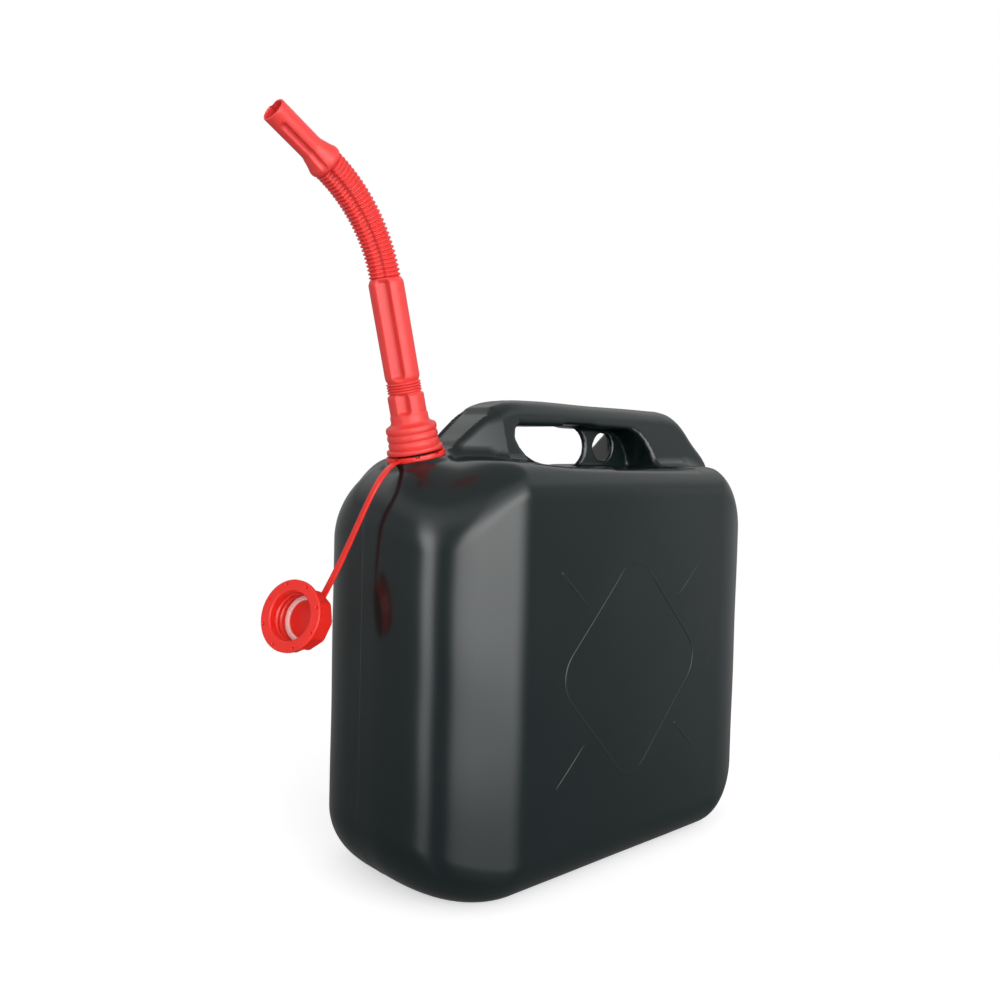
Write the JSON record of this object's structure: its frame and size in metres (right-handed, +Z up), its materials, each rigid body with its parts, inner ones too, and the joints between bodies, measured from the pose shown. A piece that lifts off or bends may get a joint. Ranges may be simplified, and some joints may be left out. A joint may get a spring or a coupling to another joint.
{
  "type": "plastic jerrycan",
  "caption": "Ten-litre blow-moulded plastic can with moulded handle, leaning neck, screw-on bendable bellows spout, and a screw cap hanging on a strap.",
  "frame": {"origin": "centre of the can's base, on the surface it stands on", "axes": "+Z up, X along the can's width with the neck and spout at -X, Y through the two wide faces"},
  "size_m": [0.3923, 0.1558, 0.4538],
  "materials": {
    "can_plastic": "dark green-grey blow-moulded polyethylene, satin gloss",
    "spout_plastic": "light red, slightly translucent blow-moulded polyethylene",
    "cap_plastic": "full red injection-moulded polyethylene",
    "seal_foam": "pale pink-white sealing ring"
  },
  "bodies": {
    "can": {"can_body": "can_plastic"},
    "spout": {"spout_base": "spout_plastic", "spout_bellows": "spout_plastic"},
    "tip": {"spout_tip": "spout_plastic"},
    "tether_ring": {"tether": "cap_plastic"},
    "hanging_cap": {"cap": "cap_plastic", "cap_seal": "seal_foam"}
  },
  "joints": [
    {"name": "spout_lift", "type": "slide", "parent": "can", "child": "spout", "axis": [-0.2419, 0, 0.9703], "range_m": [0, 0.03]},
    {"name": "spout_bend", "type": "hinge", "parent": "spout", "child": "tip", "pos_m": [-0.1642, -0.0009, 0.4039], "axis": [0.1183, -0.9925, 0.0295], "range_deg": [-47, 35], "deforming": ["spout_bellows"]},
    {"name": "tether_turn", "type": "hinge", "parent": "can", "child": "tether_ring", "pos_m": [-0.1223, 0, 0.2665], "axis": [-0.2419, 0, 0.9703], "range_deg": [-30, 30]},
    {"name": "cap_swivel", "type": "hinge", "parent": "tether_ring", "child": "hanging_cap", "pos_m": [-0.1882, 0.0143, 0.1685], "axis": [-0.9092, -0.3149, 0.2723], "continuous": true}
  ]
}
